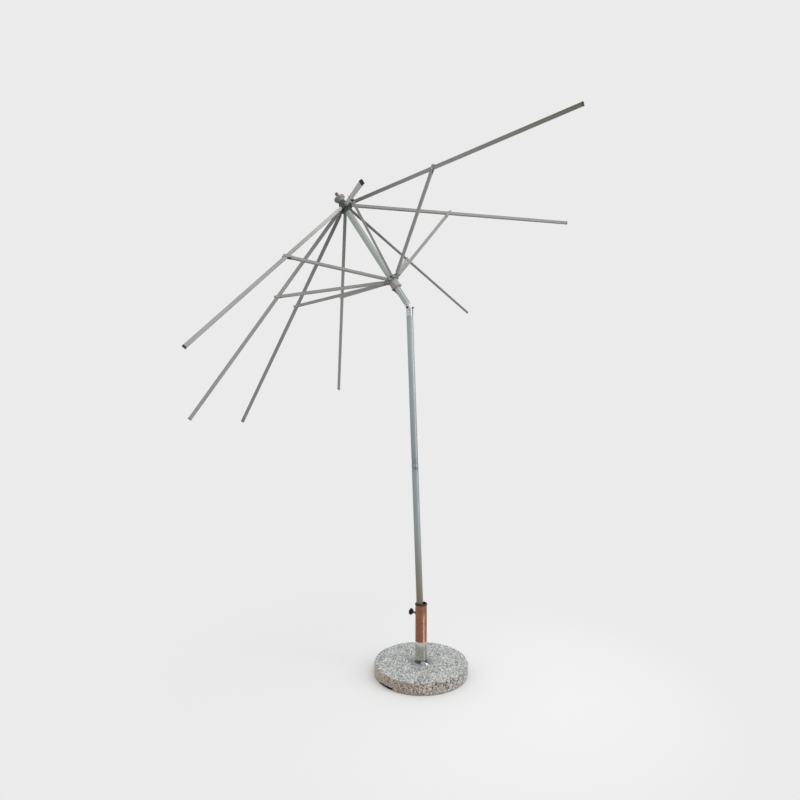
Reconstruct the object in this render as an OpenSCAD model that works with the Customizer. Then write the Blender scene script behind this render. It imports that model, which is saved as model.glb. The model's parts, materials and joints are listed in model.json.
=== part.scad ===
// Tilting parasol frame: eight folding ribs on a jointed pole, standing in a round granite base.
// Millimetres, +Z up, origin at the centre of the base's underside. The head tilts towards -X.

/* [Granite base] */
// Diameter of the granite disc
base_d = 450; // [380:10:600]
// Thickness of the granite disc
base_h = 60; // [45:1:90]
// Rounding of the disc's two edges
base_edge_r = 5; // [2:0.5:10]
// Width of the hand grip cut under the rim
grip_w = 90; // [60:1:120]
// Height of the hand grip
grip_h = 13; // [10:1:20]
// Depth of the hand grip, inwards from the rim
grip_depth = 30; // [16:1:45]
// Corner radius of the hand grip
grip_r = 5; // [2:0.5:9]
// Direction of the hand grip around the base, in degrees from +X
grip_az = 244; // [200:1:300]
// Diameter of the stud that holds the stand tube
stud_d = 10; // [8:1:12]
// Depth of the stud in the granite
stud_depth = 40; // [25:1:44]
// Reach of the stud above its nut
stud_end = 2; // [1:0.5:3]
// Size of the nut across its flats
nut_af = 17; // [15:0.5:17.5]
// Height of the nut with its flange
nut_h = 9; // [7:0.5:11]
// Diameter of the nut's flange
nut_flange_d = 20.6; // [20.4:0.1:22]
// Thickness of the nut's flange
nut_flange_t = 2; // [1.5:0.5:3]

/* [Stand tube] */
// Outside diameter of the stand tube
tube_d = 56; // [54:0.5:60]
// Wall of the stand tube
tube_wall = 2; // [1.5:0.1:2.5]
// Height of the steel collar above the granite
collar_h = 101; // [70:1:140]
// Height of the copper sleeve above the steel collar
sleeve_h = 177; // [140:1:260]
// Length of the sleeve's spigot inside the collar
spigot_l = 18; // [10:1:30]
// Wall of the spigot
spigot_wall = 1.2; // [1:0.1:1.5]
// Thickness of the collar's welded floor
floor_t = 6; // [4:0.5:10]
// Diameter of the domed flange around the collar's foot
flange_d = 100; // [70:1:120]
// Height of the domed flange
flange_h = 15; // [8:0.5:20]
// Outside diameter of the rim ring
ring_d = 58.5; // [57:0.5:66]
// Inside diameter of the rim ring
ring_bore = 46; // [45.5:0.1:47]
// Height of the rim ring above the tube
ring_h = 6; // [4:0.5:12]
// Length of the rim ring's skirt inside the tube
skirt_l = 12; // [8:1:20]

/* [Clamp screw] */
// Direction of the clamp screw around the tube, in degrees from +X
clamp_az = 166; // [130:1:220]
// Distance of the clamp screw below the top of the sleeve
clamp_below = 48; // [22:1:60]
// Diameter of the clamp screw
screw_d = 8; // [6:1:12]
// Diameter of the threaded boss welded to the tube
boss_d = 14; // [13:0.5:20]
// Reach of the boss out of the tube
boss_l = 6; // [4:0.5:12]
// Length of bare screw between the boss and the knob
shank_l = 15; // [10:0.5:26]
// Diameter of the knob
knob_d = 32; // [26:1:45]
// Thickness of the knob
knob_t = 10; // [8:0.5:20]
// Diameter of the knob's hub
knob_hub_d = 17; // [15:0.5:22]
// Length of the knob's hub
knob_hub_l = 5; // [3:0.5:8]
// Number of finger flutes around the knob
knob_flutes = 7; // [5:1:9]

/* [Pole] */
// Diameter of the lower and middle pole
pole_d = 32; // [30:0.5:34]
// Wall of the lower and middle pole
pole_wall = 1.5; // [1.2:0.1:2.2]
// Diameter of the plastic foot
foot_d = 43; // [41:0.5:44]
// Height of the plastic foot below the pole
foot_h = 20; // [18:1:30]
// Diameter of the hollow under the foot, clear of the nut
hollow_d = 31; // [30:0.5:33]
// Depth of the hollow under the foot
hollow_h = 15; // [13.5:0.5:16]
// Length of the plugs and spigots inside the poles
insert_l = 38; // [25:1:50]
// Length of the lower pole
lower_l = 928; // [700:1:1200]
// Length of the bare neck between lower and middle pole
neck_l = 29; // [20:1:40]
// Diameter of the bare neck
neck_d = 30.2; // [29.6:0.1:31.4]
// Wall of the coupling's tube
coupling_wall = 1.5; // [1.2:0.1:2.2]
// Number of crimps that hold the coupling
crimp_count = 4; // [3:1:6]
// Depth of each crimp
crimp_depth = 0.7; // [0.4:0.1:1]
// Radius of each crimp
crimp_r = 4; // [3:0.5:6]
// Length of the middle pole
middle_l = 675; // [500:1:900]

/* [Tilt joint] */
// Tilt of the head against the pole, in degrees
head_tilt = 32.2; // [20:0.1:38]
// Height of the pivot above the middle pole
pivot_h = 38; // [35:1:50]
// Distance of the pivot from the pole's axis, towards the tilt
pivot_off = 6; // [4:0.5:8]
// Thickness of the joint's cap on the middle pole
cap_t = 6; // [5:0.5:9]
// Width of the two ears
ear_w = 15; // [13:0.5:17]
// Thickness of each ear
ear_t = 4; // [3:0.5:5]
// Distance between the two ears
ear_gap = 14; // [12:0.5:16]
// Diameter of the tilt pin
tilt_pin_d = 7; // [6:0.5:8]
// Diameter of the tilt pin's heads
pin_head_d = 11; // [9:0.5:13]
// Thickness of the tilt pin's heads
pin_head_t = 2.5; // [1.5:0.5:4]
// Diameter of the two index holes in each ear
index_d = 5; // [3:0.5:6]
// Distance of the upper index hole below the pivot
index_drop = 14; // [10:0.5:15]
// Distance between the two index holes
index_pitch = 10; // [7:0.5:11]
// Width of the latch strip
latch_w = 10; // [8:0.5:12]
// Thickness of the latch strip
latch_t = 1.5; // [1.2:0.1:2]
// Diameter of the latch's button
button_d = 8; // [6:0.5:10]
// Length of the latch's button
button_l = 5; // [3:0.5:8]
// Travel of the latch when its button is pressed, in degrees
latch_travel = 4; // [2:0.5:5]

/* [Head] */
// Diameter of the upper pole
upper_d = 30; // [28:0.5:31]
// Wall of the upper pole
upper_wall = 1.5; // [1.2:0.1:2]
// Distance of the upper pole's end from the tilt pivot
upper_start = 18; // [16:0.5:24]
// Thickness of the shoulder that the upper pole stands on
shoulder_t = 4; // [3:0.5:6]
// Height of the rib pivots above the tilt pivot
crown_h = 592; // [520:1:700]
// Radius of the circle of rib and strut pivots
pivot_r = 30.5; // [29:0.5:36]
// Half the height of the slotted hub discs
hub_half = 9; // [8:0.5:11]
// Width of hub left outside the pivot circle
hub_lip = 4; // [3.5:0.5:6]
// Diameter of the crown's core
crown_core_d = 44; // [40:0.5:45]
// Reach of the crown's core below the rib pivots
crown_low = 22; // [16:1:30]
// Reach of the crown's core above the rib pivots
crown_high = 28; // [22:1:40]
// Thickness of the crown's closed top
crown_top_t = 6; // [4:0.5:9]
// Diameter of the pivot wires
wire_d = 3; // [2.5:0.1:4]
// Diameter of the crown's neck under the finial
finial_neck_d = 34; // [26:1:38]
// Height of the crown's neck
finial_neck_h = 11; // [10:1:24]
// Diameter of the finial's cap
finial_d = 55; // [44:1:64]
// Height of the finial's flare
finial_flare_h = 12; // [6:0.5:16]
// Height of the finial's rim
finial_rim_h = 14; // [12:0.5:20]
// Rounding of the finial's rim
finial_rim_r = 4; // [2:0.5:5]
// Diameter of the small ball on top
ball_d = 18; // [12:1:22]
// Diameter of the ball's stem
stem_d = 6; // [4:0.5:8]
// Bare length of the ball's stem
stem_l = 5; // [4:0.5:14]
// Depth of the stem in the finial
stem_in = 10; // [6:0.5:14]

/* [Runner] */
// Height of the strut pivots above the tilt pivot
runner_h = 159.5; // [152:0.5:190]
// Travel of the runner down the upper pole
runner_travel = 60; // [40:1:62]
// Diameter of the runner's sleeve
runner_d = 46; // [45.5:0.5:48]
// Length of the runner's sleeve
runner_l = 40; // [38:1:54]
// Diameter of the sleeve's lower flange
runner_flange_d = 54; // [50:1:62]
// Thickness of the sleeve's lower flange
runner_flange_t = 6; // [4:0.5:9]
// Width of the spring catch
catch_w = 6; // [5:0.5:7]
// Height of the catch's wedge
catch_h = 30; // [24:1:31]
// Reach of the catch out of the pole
catch_out = 6; // [4:0.5:6.5]
// Thickness of the catch's plate
catch_t = 1.8; // [1.2:0.1:2.5]

/* [Ribs and struts] */
// Droop of the ribs below the hub disc, in degrees
rib_droop = 24.5; // [16:0.5:30]
// Direction of the first rib from the downhill side, in degrees
rib_start = 34.3; // [20:0.1:44]
// Sideways slack of each rib in its slot, to either side, in degrees
rib_slack = 16.5; // [16:0.5:18]
// Length of a rib from its pivot to its tip
rib_l = 1230; // [1000:1:1400]
// Width of a rib
rib_w = 11; // [9:0.5:13]
// Depth of a rib
rib_h = 16; // [13:0.5:20]
// Wall of ribs and struts
rib_wall = 1; // [0.8:0.1:1.4]
// Corner radius of ribs and struts
rib_r = 2; // [1.5:0.1:2.5]
// Distance from a pivot to the start of the full section
inset_l = 15; // [14:0.5:20]
// Length of the closed end of a rib or strut
solid_l = 10; // [6:1:16]
// Thickness of the flat eyes at the hubs
eye_t = 3; // [2.5:0.1:3.5]
// Radius of the flat eyes
eye_r = 6; // [5:0.1:6.3]
// Distance along the rib to the strut's pivot
strut_at = 521; // [440:1:600]
// Width of a strut
strut_w = 10; // [8:0.5:11]
// Depth of a strut
strut_h = 15; // [12:0.5:18]
// Thickness of the fork's cheeks at a strut's outer end
fork_t = 1.5; // [1:0.1:2.5]
// Depth of the fork's cheeks
fork_h = 12; // [11:0.5:14]
// Length of the fork's solid root
fork_root = 12; // [8:0.5:20]
// How far the fork's cheeks run on past the rivet, to the middle of their round ends
fork_reach = 12; // [2:0.5:16]
// Diameter of the rivet through rib and fork
rivet_d = 4; // [3:0.5:5]
// Diameter of the rivet's heads
rivet_head_d = 7; // [6:0.5:9]
// Thickness of the rivet's heads
rivet_head_t = 1.6; // [1:0.1:2.5]
// Length of a rib's end plug outside the rib
plug_l = 3; // [2:0.5:10]
// Length of a rib's end plug inside the rib
plug_in = 16; // [8:1:24]
// How far the end plug stands proud of the rib all round
plug_lip = 0.4; // [0.2:0.1:1]

/* [How the ribs lie] */
// Sideways lie of rib 1 in its slot, in degrees
lie_1 = -10.7; // [-16:0.1:16]
// Sideways lie of rib 2 in its slot, in degrees
lie_2 = -14.6; // [-16:0.1:16]
// Sideways lie of rib 3 in its slot, in degrees
lie_3 = -14.7; // [-16:0.1:16]
// Sideways lie of rib 4 in its slot, in degrees
lie_4 = -10; // [-16:0.1:16]
// Sideways lie of rib 5 in its slot, in degrees
lie_5 = 13.9; // [-16:0.1:16]
// Sideways lie of rib 6 in its slot, in degrees
lie_6 = 12.3; // [-16:0.1:16]
// Sideways lie of rib 7 in its slot, in degrees
lie_7 = 15.9; // [-16:0.1:16]
// Sideways lie of rib 8 in its slot, in degrees
lie_8 = 8.2; // [-16:0.1:16]

/* [Clearances] */
// Gap all round a piece fixed inside another
fit_gap = 0.1; // [0.05:0.01:0.15]
// Running gap round a hinge pin
run_gap = 0.05; // [0.02:0.01:0.1]
// Gap all round a piece that slides
slide_gap = 0.4; // [0.3:0.05:0.6]
// Gap between a moving piece and what it rests against
seat_gap = 0.35; // [0.3:0.05:0.6]
// Gap round the open pivot between fork and rivet
open_gap = 0.7; // [0.6:0.05:1]

/* [Hidden] */
$fn = 64;
rib_count = 8;

// Overshoot of every cut past the face that it opens
over = 1;

// Colours of the finishes
granite_grey = "#b9bdbb";
chrome_grey = "#d2d4d6";
steel_grey = "#a5a69a";
copper_brown = "#8b5a3c";
plastic_black = "#1c1c1e";
pole_grey = "#8f9a98";
zinc_grey = "#b0afb8";
hub_grey = "#5f6662";
finial_grey = "#8e8880";
rib_grey = "#a4a79f";
dark_steel = "#3a3b3d";

// Stand: heights of its faces and the bores of its pieces
tube_bore = tube_d - 2*tube_wall;
floor_z = base_h + floor_t;
sleeve_z = base_h + collar_h;
mouth_z = sleeve_z + sleeve_h;
rim_z = mouth_z + ring_h;
spigot_d = tube_bore - 2*fit_gap;
step_h = 3*tube_wall;
stud_low = base_h - stud_depth;
nut_top = floor_z + nut_h;

// Pole: it leans until it meets the rim ring, with its foot against the far side of the tube
mouth_off = (ring_bore - pole_d)/2 - seat_gap;
foot_off = (tube_bore - foot_d)/2 - seat_gap;
lean = atan2(mouth_off + foot_off, rim_z - floor_z);
foot_z = floor_z + seat_gap + foot_d/2*sin(lean);
pole_bore = pole_d - 2*pole_wall;
insert_d = pole_bore - 2*fit_gap;
neck_z = foot_h + lower_l;
middle_z = neck_z + neck_l;
top_z = middle_z + middle_l;
tilt_z = top_z + pivot_h;
crimp_z = neck_z - insert_l/2;

// Clamp screw: its tip meets the leaning pole
clamp_z = mouth_z - clamp_below;
pole_x_at_clamp = foot_off - (clamp_z - foot_z)*tan(lean);
tip_x = pole_x_at_clamp*cos(clamp_az) + pole_d/2/cos(lean) + seat_gap;
boss_in = tube_bore/2 + seat_gap;
boss_end = tube_d/2 + boss_l;
knob_x = boss_end + shank_l;
knob_face = knob_x + knob_hub_l;
screw_end = knob_face + knob_t/2;
flute_d = knob_d/4;

// Tilt joint: ears, pin and the strip beside them
ear_x = -pivot_off;
ear_out = ear_gap/2 + ear_t;
ear_r = ear_w/2;
tongue_t = ear_gap - 2*seat_gap;
latch_out = pole_d/2 - seat_gap;
latch_x = latch_out - latch_t;
latch_z = top_z + seat_gap;
latch_room = cap_t*sin(latch_travel) + seat_gap;
latch_top = tilt_z + button_d/4;
button_z = latch_top - button_d*5/8;

// Head: bores and heights along the upper pole, measured from the tilt pivot
upper_bore = upper_d - 2*upper_wall;
upper_insert_d = upper_bore - 2*fit_gap;
crown_top = crown_h + crown_high;
upper_end = crown_top - crown_top_t;
finial_z = crown_top + finial_neck_h;
rim_top = finial_flare_h + finial_rim_h;
groove_d = finial_rim_h/6;
dome_h = finial_d/9;
dome_r = (finial_d/2 - finial_rim_r)*(finial_d/2 - finial_rim_r)/2/dome_h + dome_h/2;
stem_z = finial_z + rim_top + dome_h;

// Runner: its ends, its bore and the keyway that lets it pass the catch
runner_bore = upper_d + 2*slide_gap;
sleeve_top = runner_h - hub_half;
runner_low = sleeve_top - runner_l;
key_r = upper_d/2 + catch_out + slide_gap;
key_w = catch_w + 2*slide_gap;
catch_ledge = runner_low - seat_gap;
plate_x = upper_d/2 - upper_wall - seat_gap;
plate_grip = 4;
catch_turn = rib_start - 180/rib_count;

// Ribs and struts: pivots, slots and the strut that closes the triangle
wire_hole_r = wire_d/2/cos(rib_slack) + eye_t/2*tan(rib_slack) + slide_gap/2;
slot_w = 2*(eye_r*sin(rib_slack) + eye_t/2/cos(rib_slack) + seat_gap);
channel_d = wire_d + 2*fit_gap;
joint_x = strut_at*cos(rib_droop);
joint_z = crown_h - runner_h - strut_at*sin(rib_droop);
strut_l = norm([joint_x, joint_z]);
strut_rise = atan2(joint_z, joint_x);
// Fork: its inside and outside from the middle, and how far its root stays back from the rivet
fork_in = rib_w/2 + seat_gap;
fork_out = fork_in + fork_t;
fork_angle = rib_droop + strut_rise;
fork_back = (rib_h/2 + open_gap + strut_h/2*cos(fork_angle))/sin(fork_angle);

// Direction of a rib's slot, counted round the upper pole from the downhill side
function slot_az(i) = rib_start + (i - 1)*360/rib_count;

// Each rib hangs over towards the downhill side, as far as its slot lets it
function rib_lie(i) = [lie_1, lie_2, lie_3, lie_4, lie_5, lie_6, lie_7, lie_8][i - 1];

// Frame of the leaning pole: z along the pole, from the foot's underside
module pole_frame() {
    translate([foot_off, 0, foot_z]) rotate([0, -lean, 0]) children();
}

// Frame of the tilted head: z along the upper pole, from the height of the tilt pivot
module head_frame() {
    pole_frame()
        translate([-pivot_off, 0, tilt_z])
        rotate([0, -head_tilt, 0])
        translate([pivot_off, 0, 0])
        children();
}

// Frame of one rib or strut at its pivot: x outwards along its slot's slack, y along its pivot
module arm_frame(i, h) {
    head_frame()
        rotate([0, 0, 180 + slot_az(i)])
        translate([pivot_r, 0, h])
        rotate([0, 0, rib_lie(i)])
        children();
}

// Frame of a rib, x along the rib
module rib_frame(i) {
    arm_frame(i, crown_h) rotate([0, rib_droop, 0]) children();
}

// Frame of the clamp screw, x outwards
module clamp_frame() {
    translate([0, 0, clamp_z]) rotate([0, 0, clamp_az]) children();
}

// A round bar along x
module bar_x(d, from, to) {
    translate([from, 0, 0]) rotate([0, 90, 0]) cylinder(d = d, h = to - from);
}

// A round bar along y, centred
module bar_y(d, l) {
    rotate([90, 0, 0]) cylinder(d = d, h = l, center = true);
}

// A round bar along z
module bar_z(d, from, to) {
    translate([0, 0, from]) cylinder(d = d, h = to - from);
}

// A tube along z
module tube_z(d, bore, from, to) {
    difference() {
        bar_z(d, from, to);
        bar_z(bore, from - over, to + over);
    }
}

// A rectangle with round corners, centred
module round_rect(w, h, r) {
    square([w - 2*r, h], center = true);
    square([w, h - 2*r], center = true);
    for (sx = [-1, 1], sy = [-1, 1])
        translate([sx*(w/2 - r), sy*(h/2 - r)]) circle(r = r);
}

// Half outline of a disc whose two edges are rounded
module round_disc(radius, h, r) {
    square([radius - r, h]);
    translate([0, r]) square([radius, h - 2*r]);
    for (z = [r, h - r])
        translate([radius - r, z]) circle(r = r);
}

// A profile along x
module along_x(from, to) {
    translate([from, 0, 0]) rotate([90, 0, 90]) linear_extrude(to - from) children();
}

module granite_base() {
    color(granite_grey)
    difference() {
        rotate_extrude() round_disc(base_d/2, base_h, base_edge_r);
        bar_z(stud_d + 2*fit_gap, stud_low, base_h + over);
        hand_grip();
    }
}

// The cut for the fingers, under the rim
module hand_grip() {
    inner = base_d/2 - grip_depth;
    rotate([0, 0, grip_az])
    translate([0, 0, -over]) {
        translate([inner + grip_r, -grip_w/2, 0]) cube([grip_depth, grip_w, grip_h + over]);
        translate([inner, grip_r - grip_w/2, 0]) cube([grip_depth, grip_w - 2*grip_r, grip_h + over]);
        for (side = [-1, 1])
            translate([inner + grip_r, side*(grip_w/2 - grip_r), 0]) cylinder(r = grip_r, h = grip_h + over);
    }
}

module anchor_stud() {
    color(steel_grey)
    bar_z(stud_d, stud_low, nut_top + stud_end);
}

module anchor_nut() {
    color(steel_grey)
    difference() {
        union() {
            bar_z(nut_flange_d, floor_z, floor_z + nut_flange_t);
            translate([0, 0, floor_z]) cylinder(d = nut_af/cos(30), h = nut_h, $fn = 6);
        }
        bar_z(stud_d + 2*run_gap, floor_z - over, nut_top + over);
    }
}

module base_flange() {
    inner_r = tube_d/2 + fit_gap;
    reach = flange_d/2 - inner_r;
    dome = (reach*reach + flange_h*flange_h)/2/flange_h;
    color(chrome_grey)
    translate([0, 0, base_h])
    rotate_extrude()
    intersection() {
        translate([inner_r, 0]) square([reach, flange_h]);
        translate([inner_r, flange_h - dome]) circle(r = dome);
    }
}

module lower_collar() {
    color(steel_grey)
    difference() {
        bar_z(tube_d, base_h, sleeve_z);
        bar_z(tube_bore, floor_z, sleeve_z + over);
        bar_z(stud_d + 2*fit_gap, base_h - over, floor_z + over);
    }
}

module stand_tube() {
    color(copper_brown)
    difference() {
        union() {
            bar_z(tube_d, sleeve_z, mouth_z);
            bar_z(spigot_d, sleeve_z - spigot_l, sleeve_z + step_h/2);
            clamp_frame() bar_x(boss_d, boss_in, boss_end);
        }
        bar_z(spigot_d - 2*spigot_wall, sleeve_z - spigot_l - over, sleeve_z + step_h + over);
        bar_z(tube_bore, sleeve_z + step_h, mouth_z + over);
        clamp_frame() bar_x(screw_d + 2*fit_gap, 0, boss_end + over);
    }
}

module tube_ring() {
    edge_r = (ring_d - ring_bore)/5;
    color(plastic_black)
    difference() {
        union() {
            translate([0, 0, mouth_z]) rotate_extrude() {
                translate([0, ring_h - 2*edge_r]) round_disc(ring_d/2, 2*edge_r, edge_r);
                square([ring_d/2, ring_h - edge_r]);
            }
            bar_z(tube_bore - 2*fit_gap, mouth_z - skirt_l, mouth_z + edge_r);
        }
        bar_z(ring_bore, mouth_z - skirt_l - over, rim_z + over);
    }
}

module clamp_screw() {
    color(dark_steel)
    clamp_frame()
    bar_x(screw_d, tip_x, screw_end);
}

module clamp_knob() {
    color(plastic_black)
    clamp_frame()
    difference() {
        union() {
            bar_x(knob_hub_d, knob_x, knob_face + knob_t/2);
            translate([knob_face, 0, 0])
                rotate([0, 90, 0])
                rotate_extrude()
                round_disc(knob_d/2, knob_t, knob_t/2.2);
        }
        bar_x(screw_d + 2*run_gap, knob_x - over, screw_end + fit_gap);
        for (k = [1:knob_flutes])
            rotate([k*360/knob_flutes, 0, 0])
            translate([0, 0, knob_d/2 + flute_d/4])
            bar_x(flute_d, knob_face - over, knob_face + knob_t + over);
    }
}

module pole_foot() {
    color(plastic_black)
    pole_frame()
    difference() {
        union() {
            bar_z(foot_d, 0, foot_h);
            bar_z(insert_d, foot_h - over, foot_h + insert_l);
        }
        bar_z(hollow_d, -over, hollow_h);
    }
}

module lower_pole() {
    color(pole_grey)
    pole_frame()
    difference() {
        tube_z(pole_d, pole_bore, foot_h, neck_z);
        for (k = [1:crimp_count])
            rotate([0, 0, k*360/crimp_count])
            translate([pole_d/2 + crimp_r - crimp_depth, 0, crimp_z])
            sphere(r = crimp_r);
    }
}

module pole_coupling() {
    color(chrome_grey)
    pole_frame()
    difference() {
        union() {
            bar_z(insert_d, neck_z - insert_l, middle_z + insert_l);
            bar_z(neck_d, neck_z, middle_z);
        }
        bar_z(insert_d - 2*coupling_wall, neck_z - insert_l - over, middle_z + insert_l + over);
    }
}

module middle_pole() {
    color(pole_grey)
    pole_frame()
    tube_z(pole_d, pole_bore, middle_z, top_z);
}

module tilt_clevis() {
    color(zinc_grey)
    pole_frame()
    difference() {
        union() {
            bar_z(insert_d, top_z - insert_l, top_z + cap_t);
            bar_z(pole_d, top_z, top_z + cap_t);
            for (side = [-1, 1])
                translate([ear_x, side*(ear_gap + ear_t)/2, 0]) {
                    translate([-ear_w/2, -ear_t/2, top_z]) cube([ear_w, ear_t, pivot_h]);
                    translate([0, 0, tilt_z]) bar_y(ear_w, ear_t);
                }
        }
        translate([ear_x, 0, tilt_z]) bar_y(tilt_pin_d + 2*run_gap, 2*ear_out + 2*over);
        for (drop = [index_drop, index_drop + index_pitch])
            translate([ear_x, 0, tilt_z - drop]) bar_y(index_d, 2*ear_out + 2*over);
        translate([latch_x - latch_room, -latch_w/2 - seat_gap, top_z])
            cube([pole_d, latch_w + 2*seat_gap, cap_t + over]);
    }
}

module tilt_pin() {
    color(dark_steel)
    pole_frame()
    translate([ear_x, 0, tilt_z]) {
        bar_y(tilt_pin_d, 2*ear_out + 2*pin_head_t);
        for (side = [-1, 1])
            translate([0, side*(ear_out + pin_head_t/2), 0]) bar_y(pin_head_d, pin_head_t);
    }
}

module tilt_latch() {
    color(zinc_grey)
    pole_frame()
    difference() {
        translate([latch_x, -latch_w/2, latch_z]) cube([latch_t, latch_w, latch_top - latch_z]);
        translate([0, 0, button_z]) bar_x(button_d/2 + 2*fit_gap, latch_x - over, latch_out + over);
    }
}

module tilt_button() {
    color(plastic_black)
    pole_frame()
    translate([0, 0, button_z]) {
        bar_x(button_d/2, latch_x, latch_out + button_l);
        bar_x(button_d, latch_out, latch_out + button_l);
    }
}

module tilt_tongue() {
    color(zinc_grey)
    head_frame()
    difference() {
        union() {
            translate([-pivot_off, 0, 0]) bar_y(ear_w, tongue_t);
            translate([-pivot_off - ear_r, -tongue_t/2, 0]) cube([ear_w, tongue_t, upper_start]);
            bar_z(upper_d, upper_start - shoulder_t, upper_start);
            bar_z(upper_insert_d, upper_start - shoulder_t, upper_start + insert_l);
        }
        translate([-pivot_off, 0, 0]) bar_y(tilt_pin_d + 2*run_gap, ear_gap + 2*over);
    }
}

module upper_pole() {
    window_low = catch_ledge - catch_h - slide_gap;
    window_high = catch_ledge + slide_gap;
    color(pole_grey)
    head_frame()
    difference() {
        tube_z(upper_d, upper_bore, upper_start, upper_end);
        rotate([0, 0, catch_turn])
            translate([-upper_d, -catch_w/2 - slide_gap, window_low])
            cube([upper_d, catch_w + 2*slide_gap, window_high - window_low]);
    }
}

// The slotted disc that carries the eyes of the ribs or the struts on a ring of wire
module slotted_disc(core_d) {
    outer_r = pivot_r + hub_lip;
    difference() {
        bar_z(2*outer_r, -hub_half, hub_half);
        for (i = [1:rib_count])
            rotate([0, 0, 180 + slot_az(i)])
            translate([core_d/2, -slot_w/2, -hub_half - over])
            cube([outer_r, slot_w, 2*hub_half + 2*over]);
        rotate_extrude() translate([pivot_r, 0]) circle(d = channel_d);
    }
}

// A closed ring of wire through the eyes
module pivot_wire() {
    rotate_extrude() translate([pivot_r, 0]) circle(d = wire_d);
}

module crown_hub() {
    color(hub_grey)
    head_frame()
    translate([0, 0, crown_h])
    difference() {
        union() {
            slotted_disc(crown_core_d);
            bar_z(crown_core_d, -crown_low, crown_high);
            bar_z(finial_neck_d, crown_high - over, crown_high + finial_neck_h);
        }
        bar_z(upper_d + 2*fit_gap, -crown_low - over, crown_high - crown_top_t);
    }
}

module crown_wire() {
    color(dark_steel)
    head_frame()
    translate([0, 0, crown_h])
    pivot_wire();
}

module finial_cap() {
    neck_r = finial_neck_d/2;
    color(finial_grey)
    head_frame()
    translate([0, 0, finial_z])
    difference() {
        rotate_extrude() {
            polygon([[0, 0], [neck_r, 0], [finial_d/2 - finial_rim_r, finial_flare_h], [0, finial_flare_h]]);
            translate([0, finial_flare_h]) round_disc(finial_d/2, finial_rim_h, finial_rim_r);
            intersection() {
                translate([0, rim_top]) square([finial_d, dome_h]);
                translate([0, rim_top + dome_h - dome_r]) circle(r = dome_r);
            }
        }
        rotate_extrude() translate([finial_d/2, finial_flare_h + finial_rim_h/2]) circle(d = groove_d);
        bar_z(stem_d + 2*fit_gap, rim_top + dome_h - stem_in, rim_top + dome_h + over);
    }
}

module finial_ball() {
    color(chrome_grey)
    head_frame() {
        bar_z(stem_d, stem_z - stem_in + fit_gap, stem_z + stem_l + ball_d/4);
        translate([0, 0, stem_z + stem_l + ball_d/2]) sphere(d = ball_d);
    }
}

// The wedge that the runner's lower end stands on
module spring_catch() {
    wedge_tip = upper_d/2 + catch_out;
    wedge_low = catch_ledge - catch_h;
    color(dark_steel)
    head_frame()
    rotate([90, 0, catch_turn])
    linear_extrude(catch_w, center = true) {
        polygon([[-plate_x, catch_ledge], [-wedge_tip, catch_ledge], [-wedge_tip, catch_ledge - catch_out/2],
            [-upper_d/2, wedge_low], [-plate_x, wedge_low]]);
        translate([-plate_x, wedge_low - plate_grip]) square([catch_t, catch_h + 2*plate_grip]);
    }
}

// The runner's bore and the keyway along it
module runner_cut(from, to) {
    bar_z(runner_bore, from, to);
    rotate([0, 0, catch_turn]) translate([-key_r, -key_w/2, from]) cube([key_r, key_w, to - from]);
}

module runner_hub() {
    color(hub_grey)
    head_frame()
    translate([0, 0, runner_h])
    difference() {
        union() {
            slotted_disc(runner_d);
            bar_z(runner_d, -hub_half, hub_half + hub_lip);
        }
        runner_cut(-hub_half - over, hub_half + hub_lip + over);
    }
}

module runner_wire() {
    color(dark_steel)
    head_frame()
    translate([0, 0, runner_h])
    pivot_wire();
}

module runner_sleeve() {
    color(finial_grey)
    head_frame()
    difference() {
        union() {
            bar_z(runner_d, runner_low, sleeve_top);
            translate([0, 0, runner_low])
                rotate_extrude()
                round_disc(runner_flange_d/2, runner_flange_t, runner_flange_t/3);
        }
        runner_cut(runner_low - over, sleeve_top + over);
    }
}

// The flat eye of a rib or strut, from its pivot along x
module eye_plate(t, r, reach) {
    bar_y(2*r, t);
    translate([0, -t/2, -r]) cube([reach, t, 2*r]);
}

module rib(i) {
    tube_end = rib_l - plug_l;
    color(rib_grey)
    rib_frame(i)
    difference() {
        union() {
            eye_plate(eye_t, eye_r, inset_l + solid_l);
            along_x(inset_l, tube_end) round_rect(rib_w, rib_h, rib_r);
        }
        along_x(inset_l + solid_l, tube_end + over)
            round_rect(rib_w - 2*rib_wall, rib_h - 2*rib_wall, rib_r - rib_wall);
        bar_y(2*wire_hole_r, eye_t + 2*over);
        translate([strut_at, 0, 0]) bar_y(rivet_d + 2*fit_gap, rib_w + 2*over);
    }
}

module rib_plug(i) {
    tube_end = rib_l - plug_l;
    inner_gap = rib_wall + fit_gap;
    color(plastic_black)
    rib_frame(i) {
        along_x(tube_end, rib_l) round_rect(rib_w + 2*plug_lip, rib_h + 2*plug_lip, rib_r);
        along_x(tube_end - plug_in, rib_l)
            round_rect(rib_w - 2*inner_gap, rib_h - 2*inner_gap, rib_r - rib_wall);
    }
}

// The rivet through the rib, with a head outside each cheek of the strut's fork
module rib_rivet(i) {
    color(steel_grey)
    rib_frame(i)
    translate([strut_at, 0, 0]) {
        bar_y(rivet_d, 2*(fork_out + seat_gap + rivet_head_t));
        for (side = [-1, 1])
            translate([0, side*(fork_out + seat_gap + rivet_head_t/2), 0])
            bar_y(rivet_head_d, rivet_head_t);
    }
}

// One cheek of the fork, with a round end
module fork_cheek() {
    rotate([90, 0, 0])
    linear_extrude(fork_t, center = true) {
        translate([-fork_back - fork_root, -fork_h/2]) square([fork_back + fork_root + fork_reach, fork_h]);
        translate([fork_reach, 0]) circle(d = fork_h);
    }
}

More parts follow.
